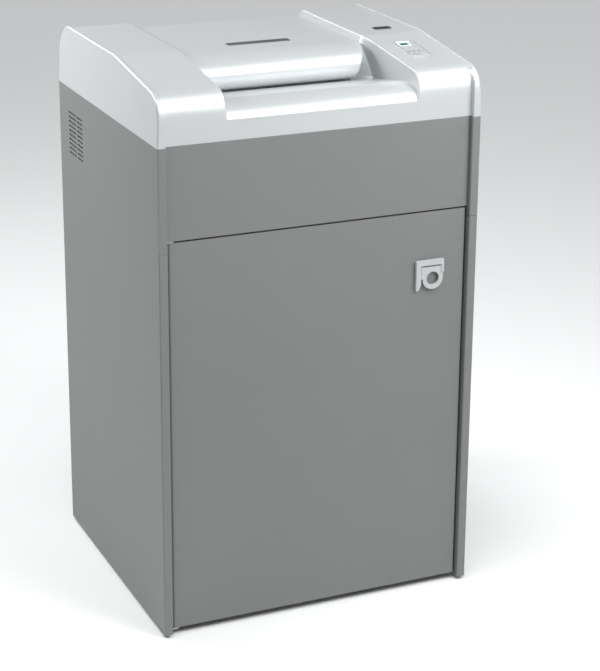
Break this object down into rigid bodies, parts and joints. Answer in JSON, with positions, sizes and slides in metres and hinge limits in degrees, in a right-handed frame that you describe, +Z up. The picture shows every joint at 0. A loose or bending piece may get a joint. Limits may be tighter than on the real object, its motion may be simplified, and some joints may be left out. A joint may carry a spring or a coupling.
{
  "type": "paper shredder",
  "caption": "Floor-standing office paper shredder: grey cabinet on hidden casters, hinged door with ring pull over a waste bin, white moulded hood with feed slot and control panel.",
  "frame": {"origin": "on the floor, under the middle of the cabinet's footprint", "axes": "+Z up, front (door and feed ledge) towards -Y, +X to the right of someone facing the front"},
  "size_m": [0.55, 0.495, 0.9245],
  "materials": {
    "grey_panel": "satin grey lacquer on board",
    "hood_plastic": "silver-white moulded plastic, satin",
    "latch_plastic": "light grey moulded plastic",
    "dark_plastic": "black moulded plastic",
    "plate_grey": "dark grey anodised",
    "key_grey": "grey key plastic",
    "lcd_window": "dark green display window",
    "steel": "machined steel",
    "zinc": "zinc-plated sheet steel",
    "shelf_board": "grey coated board",
    "bin_plastic": "dark grey moulded plastic",
    "wheel_rubber": "black rubber tread",
    "motor_paint": "dark grey painted casting",
    "board_green": "green circuit board",
    "gear_plastic": "black gear plastic"
  },
  "bodies": {
    "cabinet": {"side_panel_left": "grey_panel", "side_panel_right": "grey_panel", "back_panel": "grey_panel", "base_plate": "shelf_board", "deck_plate": "zinc", "pivot_bracket_lower": "steel", "pivot_bracket_upper": "steel", "magnet_catch": "dark_plastic", "waste_bin": "bin_plastic", "housing_side_left": "grey_panel", "housing_side_right": "grey_panel", "housing_front": "grey_panel", "housing_back": "grey_panel", "power_inlet": "dark_plastic", "hood": "hood_plastic", "nameplate": "plate_grey", "control_bezel": "hood_plastic", "display_lens": "lcd_window", "control_board": "board_green", "switch_bezel": "dark_plastic", "cutter_frame_left": "zinc", "cutter_frame_right": "zinc", "stripper_front": "zinc", "stripper_rear": "zinc", "feed_guide_front": "zinc", "feed_guide_rear": "zinc", "tie_rod_front": "steel", "tie_rod_rear": "steel", "gearbox": "motor_paint", "motor": "motor_paint", "run_capacitor": "latch_plastic", "caster_plate_front_left": "zinc", "caster_plate_front_right": "zinc", "caster_plate_rear_left": "zinc", "caster_plate_rear_right": "zinc"},
    "door": {"door_panel": "grey_panel", "latch_plate": "latch_plastic", "ring_pin": "steel", "latch_keeper": "steel"},
    "ring_pull": {"latch_ring": "latch_plastic"},
    "rocker": {"rocker_switch": "dark_plastic"},
    "start_key": {"button_start": "key_grey"},
    "reverse_key": {"button_reverse": "key_grey"},
    "forward_key": {"button_forward": "key_grey"},
    "stop_key": {"button_stop": "key_grey"},
    "roll_rear": {"cutting_roll_rear": "steel", "sync_gear_rear": "steel", "drive_gear": "steel"},
    "roll_front": {"cutting_roll_front": "steel", "sync_gear_front": "steel"},
    "idler": {"idler_gear": "gear_plastic"},
    "pinion": {"motor_pinion": "steel"},
    "swivel_front_left": {"caster_fork_front_left": "zinc"},
    "wheel_front_left": {"caster_wheel_front_left": "wheel_rubber"},
    "swivel_front_right": {"caster_fork_front_right": "zinc"},
    "wheel_front_right": {"caster_wheel_front_right": "wheel_rubber"},
    "swivel_rear_left": {"caster_fork_rear_left": "zinc"},
    "wheel_rear_left": {"caster_wheel_rear_left": "wheel_rubber"},
    "swivel_rear_right": {"caster_fork_rear_right": "zinc"},
    "wheel_rear_right": {"caster_wheel_rear_right": "wheel_rubber"}
  },
  "joints": [
    {"name": "door_swing", "type": "hinge", "parent": "cabinet", "child": "door", "pos_m": [-0.252, -0.2325, 0.34], "axis": [0, 0, -1], "range_deg": [0, 95]},
    {"name": "ring_lift", "type": "hinge", "parent": "door", "child": "ring_pull", "pos_m": [0.1975, -0.24225, 0.5765], "axis": [-1, 0, 0], "range_deg": [0, 60]},
    {"name": "rocker_tilt", "type": "hinge", "parent": "cabinet", "child": "rocker", "pos_m": [0.217, 0.002, 0.9219], "axis": [0, -1, 0], "range_deg": [0, 16]},
    {"name": "start_press", "type": "slide", "parent": "cabinet", "child": "start_key", "axis": [0, 0.1219, -0.9925], "range_m": [0, 0.0006], "stiffness_N_per_m": 400},
    {"name": "reverse_press", "type": "slide", "parent": "cabinet", "child": "reverse_key", "axis": [0, 0.1219, -0.9925], "range_m": [0, 0.0006], "stiffness_N_per_m": 400},
    {"name": "forward_press", "type": "slide", "parent": "cabinet", "child": "forward_key", "axis": [0, 0.1219, -0.9925], "range_m": [0, 0.0006], "stiffness_N_per_m": 400},
    {"name": "stop_press", "type": "slide", "parent": "cabinet", "child": "stop_key", "axis": [0, 0.1219, -0.9925], "range_m": [0, 0.0006], "stiffness_N_per_m": 400},
    {"name": "rear_roll_spin", "type": "hinge", "parent": "cabinet", "child": "roll_rear", "pos_m": [0, -0.049, 0.751], "axis": [1, 0, 0], "continuous": true},
    {"name": "front_roll_spin", "type": "hinge", "parent": "cabinet", "child": "roll_front", "pos_m": [0, -0.091, 0.751], "axis": [1, 0, 0], "continuous": true},
    {"name": "idler_spin", "type": "hinge", "parent": "cabinet", "child": "idler", "pos_m": [0.197, 0.03408, 0.7413], "axis": [1, 0, 0], "continuous": true},
    {"name": "pinion_spin", "type": "hinge", "parent": "cabinet", "child": "pinion", "pos_m": [0.197, 0.088, 0.735], "axis": [1, 0, 0], "continuous": true},
    {"name": "swivel_turn_front_left", "type": "hinge", "parent": "cabinet", "child": "swivel_front_left", "pos_m": [-0.205, -0.1645, 0.06], "axis": [0, 0, 1], "continuous": true},
    {"name": "wheel_roll_front_left", "type": "hinge", "parent": "swivel_front_left", "child": "wheel_front_left", "pos_m": [-0.205, -0.1445, 0.025], "axis": [1, 0, 0], "continuous": true},
    {"name": "swivel_turn_front_right", "type": "hinge", "parent": "cabinet", "child": "swivel_front_right", "pos_m": [0.205, -0.1645, 0.06], "axis": [0, 0, 1], "continuous": true},
    {"name": "wheel_roll_front_right", "type": "hinge", "parent": "swivel_front_right", "child": "wheel_front_right", "pos_m": [0.205, -0.1445, 0.025], "axis": [1, 0, 0], "continuous": true},
    {"name": "swivel_turn_rear_left", "type": "hinge", "parent": "cabinet", "child": "swivel_rear_left", "pos_m": [-0.205, 0.1795, 0.06], "axis": [0, 0, 1], "continuous": true},
    {"name": "wheel_roll_rear_left", "type": "hinge", "parent": "swivel_rear_left", "child": "wheel_rear_left", "pos_m": [-0.205, 0.1995, 0.025], "axis": [1, 0, 0], "continuous": true},
    {"name": "swivel_turn_rear_right", "type": "hinge", "parent": "cabinet", "child": "swivel_rear_right", "pos_m": [0.205, 0.1795, 0.06], "axis": [0, 0, 1], "continuous": true},
    {"name": "wheel_roll_rear_right", "type": "hinge", "parent": "swivel_rear_right", "child": "wheel_rear_right", "pos_m": [0.205, 0.1995, 0.025], "axis": [1, 0, 0], "continuous": true}
  ],
  "couplings": [
    {"joint": "front_roll_spin", "follows": "rear_roll_spin", "ratio": -1},
    {"joint": "idler_spin", "follows": "rear_roll_spin", "ratio": -1.2},
    {"joint": "pinion_spin", "follows": "rear_roll_spin", "ratio": 3}
  ]
}
